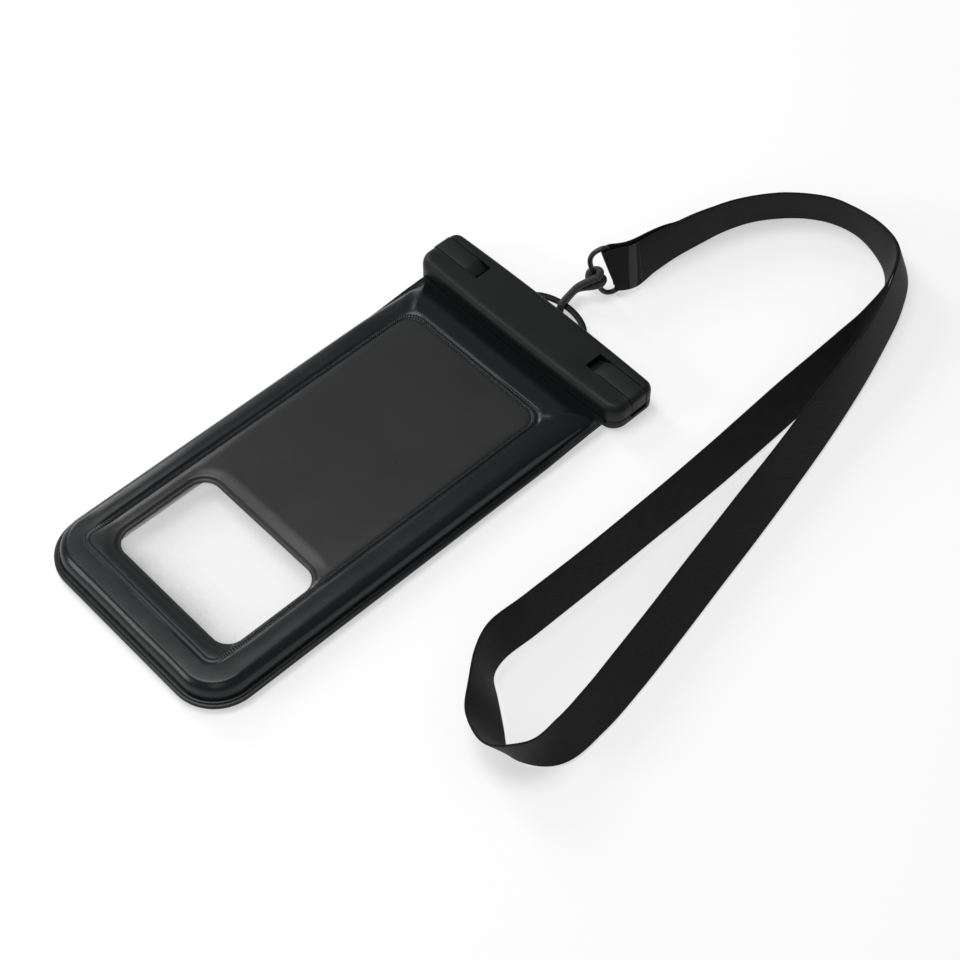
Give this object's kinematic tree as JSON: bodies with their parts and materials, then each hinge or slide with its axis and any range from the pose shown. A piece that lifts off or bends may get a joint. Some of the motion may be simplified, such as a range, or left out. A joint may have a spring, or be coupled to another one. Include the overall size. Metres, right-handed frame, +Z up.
{
  "type": "waterproof phone pouch",
  "caption": "Flat waterproof phone pouch with a puffy welded border, a clear camera window, a snap-lock clip across its mouth and a neck strap on a D-ring.",
  "frame": {"origin": "middle of the pouch with its clip and lug, on the table under the clear screen side", "axes": "+X across the clip, +Y from the pouch's bottom towards the clip and lug, +Z up through the camera window side"},
  "size_m": [0.2097, 0.3645, 0.0236],
  "materials": {
    "black_film": "semi-gloss PVC film",
    "clear_film": "clear flexible PVC",
    "foam": "soft cushion, hidden inside the border",
    "black_shell": "moulded ABS, fine matte",
    "soft_rubber": "soft seal",
    "steel": "plain pin",
    "dark_metal": "black plated wire",
    "black_cord": "braided nylon",
    "black_ribbon": "woven polyester twill"
  },
  "bodies": {
    "root": {"front_frame": "black_film", "front_screen": "clear_film", "border_cushion": "foam", "back_sheet": "black_film", "camera_window": "clear_film", "clip_lower_jaw": "black_shell", "clip_upper_jaw": "black_shell", "clip_seal": "soft_rubber", "latch_pin_right": "steel", "latch_pin_left": "steel", "d_ring": "dark_metal", "tether": "black_cord", "strap": "black_ribbon"},
    "latch_right": {"latch_right": "black_shell"},
    "latch_left": {"latch_left": "black_shell"}
  },
  "joints": [
    {"name": "latch_right_hinge", "type": "hinge", "parent": "root", "child": "latch_right", "pos_m": [0.0556, 0.0983, 0.0062], "axis": [0, 1, 0], "range_deg": [0, 95]},
    {"name": "latch_left_hinge", "type": "hinge", "parent": "root", "child": "latch_left", "pos_m": [-0.0556, 0.0983, 0.0062], "axis": [0, -1, 0], "range_deg": [0, 95]}
  ]
}
